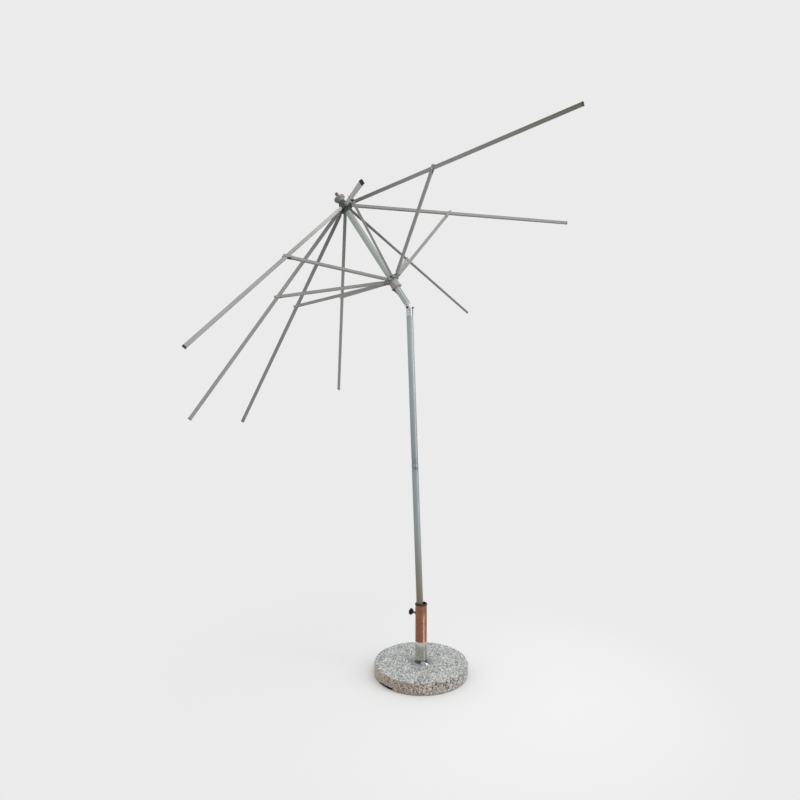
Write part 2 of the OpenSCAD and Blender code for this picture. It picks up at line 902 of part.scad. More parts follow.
module strut(i) {
    tube_end = strut_l - fork_back;
    color(rib_grey)
    arm_frame(i, runner_h)
    rotate([0, -strut_rise, 0])
    difference() {
        union() {
            eye_plate(eye_t, eye_r, inset_l + solid_l);
            along_x(inset_l, tube_end) round_rect(strut_w, strut_h, rib_r);
            along_x(tube_end - fork_root, tube_end) square([2*fork_out, fork_h], center = true);
            for (side = [-1, 1])
                translate([strut_l, side*(fork_in + fork_t/2), 0])
                fork_cheek();
        }
        along_x(inset_l + solid_l, tube_end - fork_root)
            round_rect(strut_w - 2*rib_wall, strut_h - 2*rib_wall, rib_r - rib_wall);
        bar_y(2*wire_hole_r, eye_t + 2*over);
        translate([strut_l, 0, 0]) bar_y(rivet_d + 2*open_gap, 2*fork_out + 2*over);
    }
}

granite_base();
anchor_stud();
anchor_nut();
base_flange();
lower_collar();
stand_tube();
tube_ring();
clamp_screw();
clamp_knob();
pole_foot();
lower_pole();
pole_coupling();
middle_pole();
tilt_clevis();
tilt_pin();
tilt_latch();
tilt_button();
tilt_tongue();
upper_pole();
crown_hub();
crown_wire();
finial_cap();
finial_ball();
spring_catch();
runner_hub();
runner_wire();
runner_sleeve();
for (i = [1:rib_count]) {
    rib(i);
    rib_plug(i);
    rib_rivet(i);
    strut(i);
}
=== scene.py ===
# %% [markdown]
# # A tilting parasol frame in a granite base
#
# The object is a garden parasol without its canopy: a jointed pole, drooping ribs and struts, and a
# clamped tube on a polished stone disc. The CAD model already has every shape, so this lesson is about
# finishes. Each metal, plastic and stone gets a material built from nodes, and a few details that are
# too fine for the solids, such as a screw thread, are made as meshes that ride on the CAD bodies.

import json
import math

import bpy
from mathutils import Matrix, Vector


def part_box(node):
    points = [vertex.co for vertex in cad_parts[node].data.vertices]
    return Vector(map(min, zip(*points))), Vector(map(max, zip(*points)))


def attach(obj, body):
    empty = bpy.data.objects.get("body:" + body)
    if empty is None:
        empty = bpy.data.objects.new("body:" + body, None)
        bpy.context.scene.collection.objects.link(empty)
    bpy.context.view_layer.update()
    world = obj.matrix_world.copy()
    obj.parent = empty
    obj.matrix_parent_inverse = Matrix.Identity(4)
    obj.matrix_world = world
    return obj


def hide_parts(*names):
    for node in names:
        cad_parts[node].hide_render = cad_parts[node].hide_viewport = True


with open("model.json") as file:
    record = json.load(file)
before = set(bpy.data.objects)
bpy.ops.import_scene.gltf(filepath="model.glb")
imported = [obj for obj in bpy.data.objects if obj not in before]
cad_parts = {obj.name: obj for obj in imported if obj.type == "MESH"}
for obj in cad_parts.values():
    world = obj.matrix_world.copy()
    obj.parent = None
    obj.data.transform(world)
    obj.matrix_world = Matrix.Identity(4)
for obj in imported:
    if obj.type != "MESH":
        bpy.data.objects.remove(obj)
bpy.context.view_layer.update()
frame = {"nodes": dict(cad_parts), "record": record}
nodes = frame["nodes"]

# %% [markdown]
# ## The camera
#
# The picture was taken from the front, a little to the right of the tilt plane, at about chest height.
# A wide lens close to the object makes the near ribs look long and the far ones short, so the distance
# matters as much as the direction. The place and the focal length come from matching rib tips, strut
# joints and the stone disc, and the focal length in pixels turns into millimetres on a 36 mm sensor.

# %% Place the camera
MM = 0.001
image_px = 800
focal_px = 673.6
sensor_mm = 36
camera_at = (1.1305, -2.9651, 1.5016)
heading = math.radians(22.7)
pitch = math.radians(3.27)

camera_data = bpy.data.cameras.new("photo_camera")
camera_data.sensor_width = sensor_mm
camera_data.lens = focal_px / image_px * sensor_mm
camera = bpy.data.objects.new("photo_camera", camera_data)
bpy.context.scene.collection.objects.link(camera)
camera.location = camera_at
look = Vector((-math.sin(heading) * math.cos(pitch), math.cos(heading) * math.cos(pitch), -math.sin(pitch)))
camera.rotation_euler = look.to_track_quat("-Z", "Y").to_euler()
bpy.context.scene.camera = camera
print("camera lens", round(camera_data.lens, 2), "mm")

# %% [markdown]
# ## Colours and nodes
#
# A colour is picked as it looks on screen, in sRGB, but a shader works in linear light, so one function
# turns hex values to linear. A second one adds a node with its settings, its fixed values and its links,
# which keeps each material below short enough to read as a recipe. Patterns are placed by the object's
# own coordinates in metres, so a scale is one over a real size. The other helpers start a material and
# put it on the CAD nodes that it belongs to.


# %% Helpers for materials
def linear(hex_colour):
    channels = [int(hex_colour[i : i + 2], 16) / 255 for i in (1, 3, 5)]
    return [c / 12.92 if c <= 0.04045 else ((c + 0.055) / 1.055) ** 2.4 for c in channels] + [1.0]


def add(material, kind, settings=(), values=(), links=(), stops=()):
    node = material.node_tree.nodes.new(kind)
    for name, value in dict(settings).items():
        setattr(node, name, value)
    for socket, value in dict(values).items():
        node.inputs[socket].default_value = value
    for socket, source in dict(links).items():
        material.node_tree.links.new(source, node.inputs[socket])
    for i, (place, hex_colour) in enumerate(stops):
        # A new ramp already has two stops
        ramp = node.color_ramp.elements
        stop = ramp[i] if i < 2 else ramp.new(place)
        stop.position = place
        stop.color = linear(hex_colour)
    return node


def finish(name, **values):
    material = bpy.data.materials.new(name)
    material.use_nodes = True
    shader = material.node_tree.nodes["Principled BSDF"]
    for socket, value in values.items():
        shader.inputs[socket.replace("_", " ")].default_value = value
    return material, shader


def per_mm(size):
    return 1 / (size * MM)


def dress(material, *names):
    for name in names:
        mesh = nodes[name].data
        mesh.materials.clear()
        mesh.materials.append(material)
    print(material.name, "on", len(names), "nodes")


# %% [markdown]
# ## Polished granite
#
# Granite is a mass of interlocked crystals: pale feldspar, clear grey quartz and a little black mica.
# A Voronoi texture gives each crystal one random shade, and a noise pushes its borders about so that
# they aren't straight. The real crystals are two or three millimetres, less than a pixel in the picture,
# so they are drawn larger, as coarse as they need to show. A ramp with hard steps then sorts the shades
# into minerals. The polished top and the sawn side show different shares of them, so each has its own.

# %% Grow the crystals
crystal_mm = {"top": 3.2, "side": 4.2}
mineral_tones = {
    "top": [(0.0, "#0c0e11"), (0.18, "#63686c"), (0.34, "#989b9b"), (0.6, "#b3b5b2"), (0.8, "#f0f1ed")],
    "side": [(0.0, "#0a0908"), (0.22, "#74716d"), (0.4, "#b6b3af"), (0.66, "#d0cdc9"), (0.82, "#f3f1ed")],
}
border_noise_mm = 4
border_push = 3 * MM

granite, stone = finish("polished_granite", IOR=1.54)
place = add(granite, "ShaderNodeTexCoord")
wobble = add(
    granite,
    "ShaderNodeTexNoise",
    values={"Scale": per_mm(border_noise_mm), "Detail": 3.0},
    links={"Vector": place.outputs["Object"]},
)
pushed = add(
    granite,
    "ShaderNodeVectorMath",
    settings={"operation": "MULTIPLY_ADD"},
    values={1: (border_push, border_push, border_push)},
    links={0: wobble.outputs["Color"], 2: place.outputs["Object"]},
)
shades = {}
minerals = {}
for face, size in crystal_mm.items():
    crystals = add(
        granite,
        "ShaderNodeTexVoronoi",
        values={"Scale": per_mm(size)},
        links={"Vector": pushed.outputs[0]},
    )
    shades[face] = add(granite, "ShaderNodeSeparateColor", links={"Color": crystals.outputs["Color"]})
    minerals[face] = add(
        granite,
        "ShaderNodeValToRGB",
        links={"Fac": shades[face].outputs["Red"]},
        stops=mineral_tones[face],
    )
    minerals[face].color_ramp.interpolation = "CONSTANT"
print("granite crystals", crystal_mm, "mm")

# %% [markdown]
# A painted warm shade, the brown that a brown floor throws back on the side away from the light, darkens
# the sawn side and fades from one side of the disc to the other, so its mask is the distance along one
# level direction. Which colour shows is decided by how level the surface is: the top faces up, and the side
# doesn't. The polish is a little duller on the dark grains than on the pale ones.

# %% Paint the warm shade on the side and polish the top
# Painted warm shade on the sawn side, darkest on the side away from the light
warm_shade_brown = "#b89c78"
lit_side = (0.92, 0.39, 0.0)
warm_shade_depth = 0.5
warm_shade_full = -200 * MM
warm_shade_gone = 160 * MM
top_from = 0.9
side_to = 0.3
dark_grain_roughness = 0.42
pale_grain_roughness = 0.26

across = add(
    granite,
    "ShaderNodeVectorMath",
    settings={"operation": "DOT_PRODUCT"},
    values={1: lit_side},
    links={0: place.outputs["Object"]},
)
warm_shade = add(
    granite,
    "ShaderNodeMapRange",
    values={"From Min": warm_shade_full, "From Max": warm_shade_gone, "To Min": warm_shade_depth, "To Max": 0.0},
    links={"Value": across.outputs["Value"]},
)
warm_shaded = add(
    granite,
    "ShaderNodeMix",
    settings={"data_type": "RGBA"},
    values={7: linear(warm_shade_brown)},
    links={0: warm_shade.outputs[0], 6: minerals["side"].outputs["Color"]},
)
facing = add(granite, "ShaderNodeSeparateXYZ", links={"Vector": place.outputs["Normal"]})
level = add(granite, "ShaderNodeMath", settings={"operation": "ABSOLUTE"}, links={0: facing.outputs["Z"]})
sawn = add(
    granite,
    "ShaderNodeMapRange",
    values={"From Min": top_from, "From Max": side_to},
    links={"Value": level.outputs[0]},
)
stone_colour = add(
    granite,
    "ShaderNodeMix",
    settings={"data_type": "RGBA"},
    links={0: sawn.outputs[0], 6: minerals["top"].outputs["Color"], 7: warm_shaded.outputs[2]},
)
polish = add(
    granite,
    "ShaderNodeMapRange",
    values={"To Min": dark_grain_roughness, "To Max": pale_grain_roughness},
    links={"Value": shades["top"].outputs["Red"]},
)
granite.node_tree.links.new(stone_colour.outputs[2], stone.inputs["Base Color"])
granite.node_tree.links.new(polish.outputs[0], stone.inputs["Roughness"])
dress(granite, "granite_base")

# %% [markdown]
# ## Bright metals
#
# The rosette round the tube's foot is chrome plate, the collar above it is polished stainless steel, and
# the ball on the finial is plain turned steel. They were turned or drawn and then buffed, so they mirror
# the room with fine rings round the axis and a few dull smears. A noise squeezed along the height makes
# the rings, and a wide soft one makes the smears. Real buffing marks are finer than a pixel, so the rings
# are drawn coarser.

# %% Make the chrome and the steel
ring_mm = 1.2
ring_width_mm = 60
smear_mm = 25


def buffed_metal(name, light, dark, smooth, dull, **values):
    material, metal = finish(name, Metallic=1.0, **values)
    place = add(material, "ShaderNodeTexCoord")
    flat = add(
        material,
        "ShaderNodeMapping",
        values={"Scale": (per_mm(ring_width_mm), per_mm(ring_width_mm), per_mm(ring_mm))},
        links={"Vector": place.outputs["Object"]},
    )
    rings = add(
        material,
        "ShaderNodeTexNoise",
        values={"Scale": 1.0, "Detail": 4.0},
        links={"Vector": flat.outputs[0]},
    )
    smears = add(
        material,
        "ShaderNodeTexNoise",
        values={"Scale": per_mm(smear_mm), "Detail": 5.0},
        links={"Vector": place.outputs["Object"]},
    )
    tone = add(
        material,
        "ShaderNodeValToRGB",
        links={"Fac": rings.outputs["Fac"]},
        stops=[(0.35, dark), (0.62, light)],
    )
    gloss = add(
        material,
        "ShaderNodeMapRange",
        values={"From Min": 0.35, "From Max": 0.7, "To Min": smooth, "To Max": dull},
        links={"Value": smears.outputs["Fac"]},
    )
    material.node_tree.links.new(tone.outputs["Color"], metal.inputs["Base Color"])
    material.node_tree.links.new(gloss.outputs[0], metal.inputs["Roughness"])
    return material


chrome = buffed_metal("chrome_plate", "#a4a6a8", "#86898c", smooth=0.06, dull=0.14)
dress(chrome, "base_flange")
stainless = buffed_metal("polished_stainless_steel", "#cfcfc2", "#b5b5aa", smooth=0.1, dull=0.18)
dress(stainless, "lower_collar", "anchor_stud", "anchor_nut")
turned_steel = buffed_metal("turned_steel", "#858583", "#6a6a69", smooth=0.12, dull=0.24)
dress(turned_steel, "finial_ball")

# %% [markdown]
# The sleeve above the collar is polished steel under a clear lacquer, and its copper-brown tone is a
# painted reflection of a brown floor round it. A bright metal would mirror the pale room and look washed
# out, so the metal itself is dull, which gives the deep tone, and the lacquer, a coat, gives the sharp line
# of light. A dark specular tint keeps the tube's edges from turning white.

# %% Make the sleeve's steel with its painted brown reflection
# The copper-brown tone is a painted reflection of a brown floor in polished steel
brown_reflection_steel = buffed_metal(
    "steel_with_painted_brown_reflection",
    "#935622",
    "#7a4617",
    smooth=0.6,
    dull=0.7,
    Specular_Tint=linear("#3a2618"),
    Coat_Weight=1.0,
    Coat_IOR=1.6,
    Coat_Roughness=0.05,
)
dress(brown_reflection_steel, "stand_tube")

# %% [markdown]
# ## Anodised aluminium
#
# The poles are drawn tube, and the ribs and struts are extruded section. Drawing leaves faint straight
# lines along the metal, and anodising turns its mirror to a satin grey. The lines have to follow each
# piece, so a mapping first turns the piece's own axis upright, and a second one stretches a noise along
# it. Real drawing lines are a tenth of a millimetre wide, so these are drawn coarser, to show. The oxide
# skin scatters light as well as mirroring it, so the metallic value is well below one.

# %% Make the aluminium
line_mm = 1.5
line_length_mm = 120


def drawn_aluminium(name, along, light, dark, gloss, shine):
    material, metal = finish(name, Metallic=shine)
    upright = Vector(along).normalized().rotation_difference(Vector((0, 0, 1))).to_euler()
    place = add(material, "ShaderNodeTexCoord")
    turned = add(
        material,
        "ShaderNodeMapping",
        values={"Rotation": upright},
        links={"Vector": place.outputs["Object"]},
    )
    drawn = add(
        material,
        "ShaderNodeMapping",
        values={"Scale": (per_mm(line_mm), per_mm(line_mm), per_mm(line_length_mm))},
        links={"Vector": turned.outputs[0]},
    )
    lines = add(
        material,
        "ShaderNodeTexNoise",
        values={"Scale": 1.0, "Detail": 4.0},
        links={"Vector": drawn.outputs[0]},
    )
    tone = add(
        material,
        "ShaderNodeValToRGB",
        links={"Fac": lines.outputs["Fac"]},
        stops=[(0.3, dark), (0.7, light)],
    )
    satin = add(
        material,
        "ShaderNodeMapRange",
        values={"From Min": 0.3, "From Max": 0.7, "To Min": gloss - 0.05, "To Max": gloss + 0.07},
        links={"Value": lines.outputs["Fac"]},
    )
    ridge = add(
        material,
        "ShaderNodeBump",
        values={"Strength": 0.12, "Distance": 0.2 * MM},
        links={"Height": lines.outputs["Fac"]},
    )
    material.node_tree.links.new(tone.outputs["Color"], metal.inputs["Base Color"])
    material.node_tree.links.new(satin.outputs[0], metal.inputs["Roughness"])
    material.node_tree.links.new(ridge.outputs[0], metal.inputs["Normal"])
    return material


joints = frame["record"]["behaviour"]["joints"]
axes = {joint["name"]: Vector(joint["axis"]) for joint in joints}
pole_axis = axes["pole_swivel"]
head_axis = axes["runner_slide"]
middle_finish = drawn_aluminium(
    "anodised_aluminium_middle_pole", pole_axis, "#b2babb", "#9ba3a5", gloss=0.36, shine=0.4
)
dress(middle_finish, "middle_pole")
lower_finish = drawn_aluminium(
    "anodised_aluminium_lower_pole", pole_axis, "#a4abae", "#8e969a", gloss=0.36, shine=0.4
)
dress(lower_finish, "lower_pole")
head_finish = drawn_aluminium(
    "anodised_aluminium_upper_pole", head_axis, "#b1b7b1", "#9ba29d", gloss=0.3, shine=0.6
)
dress(head_finish, "upper_pole")

# %% [markdown]
# The lower pole is browner towards its foot. Under its top edge, small dark spots are painted shade in the
# dents that the punch left when it crimped the pole on to the coupling. Both are laid over the metal's own
# tone by a mask: one fades with height, and the other is a field of spots that only shows close to the top
# edge. The middle pole is a little darker near the coupling.


# %% Tint the poles and paint shade in the crimp dents
def height_mask(material, full, none):
    place = add(material, "ShaderNodeTexCoord")
    height = add(material, "ShaderNodeSeparateXYZ", links={"Vector": place.outputs["Object"]})
    return add(
        material,
        "ShaderNodeMapRange",
        values={"From Min": none, "From Max": full},
        links={"Value": height.outputs["Z"]},
    )


def lay_over(material, mask, hex_colour):
    metal = material.node_tree.nodes["Principled BSDF"]
    under = metal.inputs["Base Color"].links[0].from_socket
    mix = add(
        material,
        "ShaderNodeMix",
        settings={"data_type": "RGBA"},
        values={7: linear(hex_colour)},
        links={0: mask.outputs[0], 6: under},
    )
    material.node_tree.links.new(mix.outputs[2], metal.inputs["Base Color"])


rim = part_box("tube_ring")[1][2]
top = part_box("lower_pole")[1][2]
foot_brown = "#7d7460"
brown_full = rim - 20 * MM
brown_top = rim + 400 * MM
joint_grey = "#90989b"
grey_top = top + 500 * MM
# Painted shade in the crimp dents under the pole's top edge
dent_shade_blue = "#4c5163"
crimp_full = top - 20 * MM
crimp_foot = top - 32 * MM
spot_mm = 10
lay_over(lower_finish, height_mask(lower_finish, brown_full, brown_top), foot_brown)
lay_over(middle_finish, height_mask(middle_finish, top, grey_top), joint_grey)
place = add(lower_finish, "ShaderNodeTexCoord")
spots = add(
    lower_finish,
    "ShaderNodeTexVoronoi",
    values={"Scale": per_mm(spot_mm)},
    links={"Vector": place.outputs["Object"]},
)
marks = add(
    lower_finish,
    "ShaderNodeMapRange",
    values={"From Min": 0.5, "From Max": 0.35, "To Max": 0.9},
    links={"Value": spots.outputs["Distance"]},
)
top_end = height_mask(lower_finish, crimp_full, crimp_foot)
dent_shade_mask = add(
    lower_finish,
    "ShaderNodeMath",
    settings={"operation": "MULTIPLY"},
    links={0: marks.outputs[0], 1: top_end.outputs[0]},
)
lay_over(lower_finish, dent_shade_mask, dent_shade_blue)
print("lower pole: brown up to", round(brown_top, 2), "m, crimp marks at", round(top, 2), "m")

# %% [markdown]
# Ribs and struts each point their own way. The direction of one is found from two points: the pivot that
# its joint turns on, and the middle of its box. A few are darker all over, a painted shade for pieces that
# stand out of the light. Most ribs have a painted shade near the crown and one has a painted sheen there
# instead, and the highest rib is olive towards its tip. A mask that falls off with the distance from the
# crown lays the painted shade and sheen over the metal, and the height mask does the olive.

# %% Dress the ribs and struts
pivots = {joint["child"]: Vector(joint["pos_m"]) for joint in joints if "pos_m" in joint}
crown = sum((Vector(corner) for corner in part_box("crown_hub")), Vector()) / 2
satin_tone = ("#a8aaa6", "#8e908c")
# Darker copies of the satin tone: painted shade for pieces out of the light
shade_tones = {
    "rib_5": ("#9a9c98", "#82847f"),
    "rib_6": ("#90928e", "#787a76"),
    "rib_8": ("#9a9c9d", "#818385"),
    "strut_2": ("#9c9e9a", "#848682"),
    "strut_5": ("#9d9f9b", "#858783"),
}
# Painted shade near the crown, and a painted sheen there on rib_2
crown_shade = "#4a4a49"
crown_shade_and_sheen = {"rib_2": "#e4e5de", "rib_5": "#80817d", "rib_6": "#262625"}
crown_paint_depth = 0.55
painted_full_to = 120 * MM
painted_gone_from = 480 * MM
olive = "#6e7160"


def crown_mask(material, full, none):
    place = add(material, "ShaderNodeTexCoord")
    away = add(
        material,
        "ShaderNodeVectorMath",
        settings={"operation": "DISTANCE"},
        values={1: crown},
        links={0: place.outputs["Object"]},
    )
    return add(
        material,
        "ShaderNodeMapRange",
        values={"From Min": none, "From Max": full, "To Max": crown_paint_depth},
        links={"Value": away.outputs["Value"]},
    )


for i in range(1, 9):
    for kind in ("rib", "strut"):
        name = f"{kind}_{i}"
        low, high = (Vector(corner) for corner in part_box(name))
        run = (low + high) / 2 - pivots[name]
        light, dark = shade_tones.get(name, satin_tone)
        satin_finish = drawn_aluminium(f"satin_aluminium_{name}", run, light, dark, gloss=0.4, shine=0.22)
        dress(satin_finish, name)
        if kind == "rib":
            mask = crown_mask(satin_finish, painted_full_to, painted_gone_from)
            lay_over(satin_finish, mask, crown_shade_and_sheen.get(name, crown_shade))
        if name == "rib_4":
            rivet_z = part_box("rib_rivet_4")[1][2]
            lay_over(satin_finish, height_mask(satin_finish, high.z, rivet_z), olive)

# %% [markdown]
# ## Castings and plated steel
#
# The tilt joint is zinc, pressed into a mould while molten, so it has a soft sheen and slight mottling.
# The crown hub is an aluminium casting, painted dark all over as painted shade of its slots and underside.
# The runner hub is a bare one, and its strong light and dark patches are painted light and shade that stand
# in for its slots and cheeks. The coupling and the latch strip are rolled steel. Pin, wires, clamp screw
# and catch are dark plated steel, and the rivets are zinc-plated. One recipe makes them all: a mottled
# colour, a roughness that follows it, and a grain in bump. Real grain is a few tenths of a millimetre, so
# it is drawn coarser.


# %% Make the castings
def mottled(name, light, dark, patch_mm, grain_mm, bump, **values):
    material, body = finish(name, **values)
    place = add(material, "ShaderNodeTexCoord")
    patches = add(
        material,
        "ShaderNodeTexNoise",
        values={"Scale": per_mm(patch_mm), "Detail": 5.0},
        links={"Vector": place.outputs["Object"]},
    )
    grain = add(
        material,
        "ShaderNodeTexNoise",
        values={"Scale": per_mm(grain_mm), "Detail": 2.0},
        links={"Vector": place.outputs["Object"]},
    )
    tone = add(
        material,
        "ShaderNodeValToRGB",
        links={"Fac": patches.outputs["Fac"]},
        stops=[(0.35, dark), (0.65, light)],
    )
    base = body.inputs["Roughness"].default_value
    rough = add(
        material,
        "ShaderNodeMapRange",
        values={"From Min": 0.3, "From Max": 0.7, "To Min": base - 0.06, "To Max": base + 0.08},
        links={"Value": patches.outputs["Fac"]},
    )
    pits = add(
        material,
        "ShaderNodeBump",
        values={"Strength": bump, "Distance": 0.3 * MM},
        links={"Height": grain.outputs["Fac"]},
    )
    material.node_tree.links.new(tone.outputs["Color"], body.inputs["Base Color"])
    material.node_tree.links.new(rough.outputs[0], body.inputs["Roughness"])
    material.node_tree.links.new(pits.outputs[0], body.inputs["Normal"])
    return material


zinc = mottled(
    "cast_zinc", "#dad9df", "#c1c0c8", patch_mm=9, grain_mm=1.4, bump=0.15, Metallic=0.6, Roughness=0.36
)
dress(zinc, "tilt_clevis", "tilt_tongue")
rolled = mottled(
    "rolled_steel", "#8f959e", "#757c88", patch_mm=6, grain_mm=1.0, bump=0.15, Metallic=0.6, Roughness=0.4
)
dress(rolled, "pole_coupling", "tilt_latch")
# The crown hub's dark tone is painted shade of its slots and underside
crown_hub_shade = mottled(
    "aluminium_casting_in_painted_shade",
    "#585e5a",
    "#3e4448",
    patch_mm=10,
    grain_mm=1.8,
    bump=0.3,
    Metallic=0.2,
    Roughness=0.5,
)
dress(crown_hub_shade, "crown_hub")
# Strong light and dark patches: painted light and shade of the runner hub's slots and cheeks
patchy_light_and_shade = mottled(
    "cast_aluminium", "#bcbcc2", "#505056", patch_mm=7, grain_mm=1.8, bump=0.3, Metallic=0.35, Roughness=0.4
)
dress(patchy_light_and_shade, "runner_hub")
plated = mottled(
    "dark_plated_steel",
    "#47484a",
    "#2f3032",
    patch_mm=7,
    grain_mm=1.0,
    bump=0.1,
    Metallic=0.85,
    Roughness=0.34,
)
dress(plated, "tilt_pin", "crown_wire", "runner_wire", "clamp_screw", "spring_catch")
rivet_steel = mottled(
    "zinc_plated_steel",
    "#c9cacc",
    "#b2b4b6",
    patch_mm=5,
    grain_mm=0.8,
    bump=0.1,
    Metallic=0.9,
    Roughness=0.3,
)
dress(rivet_steel, *[f"rib_rivet_{i}" for i in range(1, 9)])

# %% [markdown]
# ## Moulded plastic
#
# The rim ring, the knob, the pole's foot, the button and the plugs are black polypropylene, moulded
# against a finely eroded steel surface, which leaves a grain that breaks up the highlight. The finial cap
# is the same plastic in a warm grey, and the runner's sleeve is a paler, smoother one. Plastic has a
# clear skin over its pigment, so its highlight stays white and its metallic value is zero.

# %% Make the plastics
plastic_ior = 1.49
black = mottled(
    "black_polypropylene",
    "#222224",
    "#161618",
    patch_mm=12,
    grain_mm=0.7,
    bump=0.25,
    IOR=plastic_ior,
    Roughness=0.44,
)
dress(black, "tube_ring", "clamp_knob", "pole_foot", "tilt_button", *[f"rib_plug_{i}" for i in range(1, 9)])
warm = mottled(
    "warm_grey_polypropylene",
    "#a19d96",
    "#8a867f",
    patch_mm=12,
    grain_mm=0.8,
    bump=0.2,
    IOR=plastic_ior,
    Roughness=0.4,
)
dress(warm, "finial_cap")
sleeve = mottled(
    "grey_polypropylene",
    "#b2aeab",
    "#918d8b",
    patch_mm=8,
    grain_mm=0.8,
    bump=0.2,
    IOR=plastic_ior,
    Roughness=0.34,
)
dress(sleeve, "runner_sleeve")

# %% [markdown]
# ## Turned details
#
# A screw's thread, the domes of the rivets and a weld are too fine for the solids. The thread and the
# rivets are surfaces round an axis: rings of points, each with its own radii, joined by quads. Where
# each of these sits, how long it is and how thick it is are measured on the CAD solid that it stands for.


# %% Helpers for turned pieces
def new_piece(name, points, faces, material, body):
    mesh = bpy.data.meshes.new(name)
    mesh.from_pydata(points, [], faces)
    mesh.shade_smooth()
    mesh.materials.append(material)
    piece = bpy.data.objects.new(name, mesh)
    bpy.context.scene.collection.objects.link(piece)
    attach(piece, body)
    return piece


def side_directions(axis):
    first = axis.orthogonal().normalized()
    return first, axis.cross(first)


def measure(name, origin, axis):
    reach = []
    for vertex in nodes[name].data.vertices:
        along = (vertex.co - origin).dot(axis)
        reach.append((along, (vertex.co - origin - along * axis).length))
    return reach


def turned_surface(origin, axis, rings, steps):
    first, second = side_directions(axis)
    points = []
    for place, radii in rings:
        for k, radius in enumerate(radii):
            turn = math.tau * k / steps
            out = math.cos(turn) * first + math.sin(turn) * second
            points.append(origin + place * axis + radius * out)
    faces = [tuple(range(steps))[::-1]]
    for ring in range(len(rings) - 1):
        for k in range(steps):
            a = ring * steps + k
            b = ring * steps + (k + 1) % steps
            faces.append((a, b, b + steps, a + steps))
    last = (len(rings) - 1) * steps
    faces.append(tuple(range(last, last + steps)))
    return points, faces


# %% [markdown]
# The knob turns by a fixed angle for each metre that the clamp screw moves, and one whole turn gives the
# thread's pitch. On a thread, the radius of a ring depends on the turn as well as on the place: a zigzag
# that goes round once in each pitch. The crests keep the solid's radius, so the screw still fits its hole.

# %% Cut the thread of the clamp screw
screw_axis = axes["screw_slide"].normalized()
screw_origin = pivots["clamp_knob"]
couplings = {c["joint"]: c["ratio"] for c in frame["record"]["behaviour"]["couplings"]}
thread_pitch = math.tau / couplings["knob_turn"]
thread_depth = 0.75 * MM
chamfer = 1.0 * MM
rings_per_pitch = 6
thread_steps = 28
reach = measure("clamp_screw", screw_origin, screw_axis)
tip = min(along for along, _ in reach)
end = max(along for along, _ in reach)
crest = max(out for _, out in reach)


def thread_radius(place, share):
    tooth = abs(2 * ((place / thread_pitch - share) % 1) - 1)
    blunt = crest - max(0, chamfer - (place - tip))
    return min(crest - thread_depth * (1 - tooth), blunt)


gaps = round((end - tip) / (thread_pitch / rings_per_pitch))
rings = []
for k in range(gaps + 1):
    place = tip + (end - tip) * k / gaps
    rings.append((place, [thread_radius(place, step / thread_steps) for step in range(thread_steps)]))
points, faces = turned_surface(screw_origin, screw_axis, rings, thread_steps)
thread = new_piece("threaded_clamp_screw", points, faces, plated, "clamp_screw")
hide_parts("clamp_screw")
print("thread", round((end - tip) / MM, 1), "mm long,", len(rings), "rings")

# %% [markdown]
# A rivet's head is upset with a cupped tool, which leaves a low dome. The rings of a dome stand closer
# together towards its top, on a quarter of an ellipse. Both ends of a rivet are alike, so the second dome
# is the first one turned round.

# %% Dome the rivets
dome_rings = 7
rivet_steps = 24
near_axis = 0.5 * MM
for i in range(1, 9):
    node = f"rib_rivet_{i}"
    rivet_axis = axes[f"rib_fold_{i}"].normalized()
    low, high = (Vector(corner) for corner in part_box(node))
    middle = (low + high) / 2
    reach = measure(node, middle, rivet_axis)
    half = max(along for along, _ in reach)
    head_r = max(out for _, out in reach)
    shank_r = min(out for _, out in reach if out > near_axis)
    under = min(abs(along) for along, out in reach if out > (head_r + shank_r) / 2)
    dome = []
    for k in range(dome_rings):
        rise = math.pi / 2 * k / dome_rings
        dome.append((under + (half - under) * math.sin(rise), head_r * math.cos(rise)))
    outline = [(-x, r) for x, r in reversed(dome)] + [(-under, shank_r), (under, shank_r)] + dome
    rings = [(x, [r] * rivet_steps) for x, r in outline]
    points, faces = turned_surface(middle, rivet_axis, rings, rivet_steps)
    rivet = new_piece(f"domed_rivet_{i}", points, faces, rivet_steel, f"rib_{i}")
    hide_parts(node)
print("8 domed rivets, heads", round(2 * head_r / MM, 1), "mm")

# %% [markdown]
# The threaded boss is welded to the stand tube. The weld follows the line where the two round shapes
# meet, which rises and falls as it goes round, and the welder's steps leave small ripples in it. The
# weld stands for no solid of its own, so the radii of the tube and the boss are the drawing's.

# %% Lay the weld round the boss
tube_r = 28 * MM
boss_r = 7 * MM
weld_r = 1.1 * MM
ripple = 0.14 * MM
ripple_count = 16
weld_steps = 96
weld_sides = 10
first, second = side_directions(screw_axis)
weld_points = []
for k in range(weld_steps):
    turn = math.tau * k / weld_steps
    out = math.cos(turn) * first + math.sin(turn) * second
    sideways = Vector((out.x, out.y, 0)).length * boss_r
    middle = screw_origin + boss_r * out + math.sqrt(tube_r**2 - sideways**2) * screw_axis
    thick = weld_r + ripple * math.cos(ripple_count * turn)
    for j in range(weld_sides):
        bend = math.tau * j / weld_sides
        weld_points.append(middle + thick * (math.cos(bend) * out + math.sin(bend) * screw_axis))
weld_faces = []
for k in range(weld_steps):
    for j in range(weld_sides):
        a = k * weld_sides
        b = (k + 1) % weld_steps * weld_sides
        weld_faces.append((a + j, b + j, b + (j + 1) % weld_sides, a + (j + 1) % weld_sides))
# The weld takes the sleeve's finish, with its painted brown reflection
new_piece("boss_weld", weld_points, weld_faces, brown_reflection_steel, "base")
print("weld round the boss,", weld_steps, "steps")

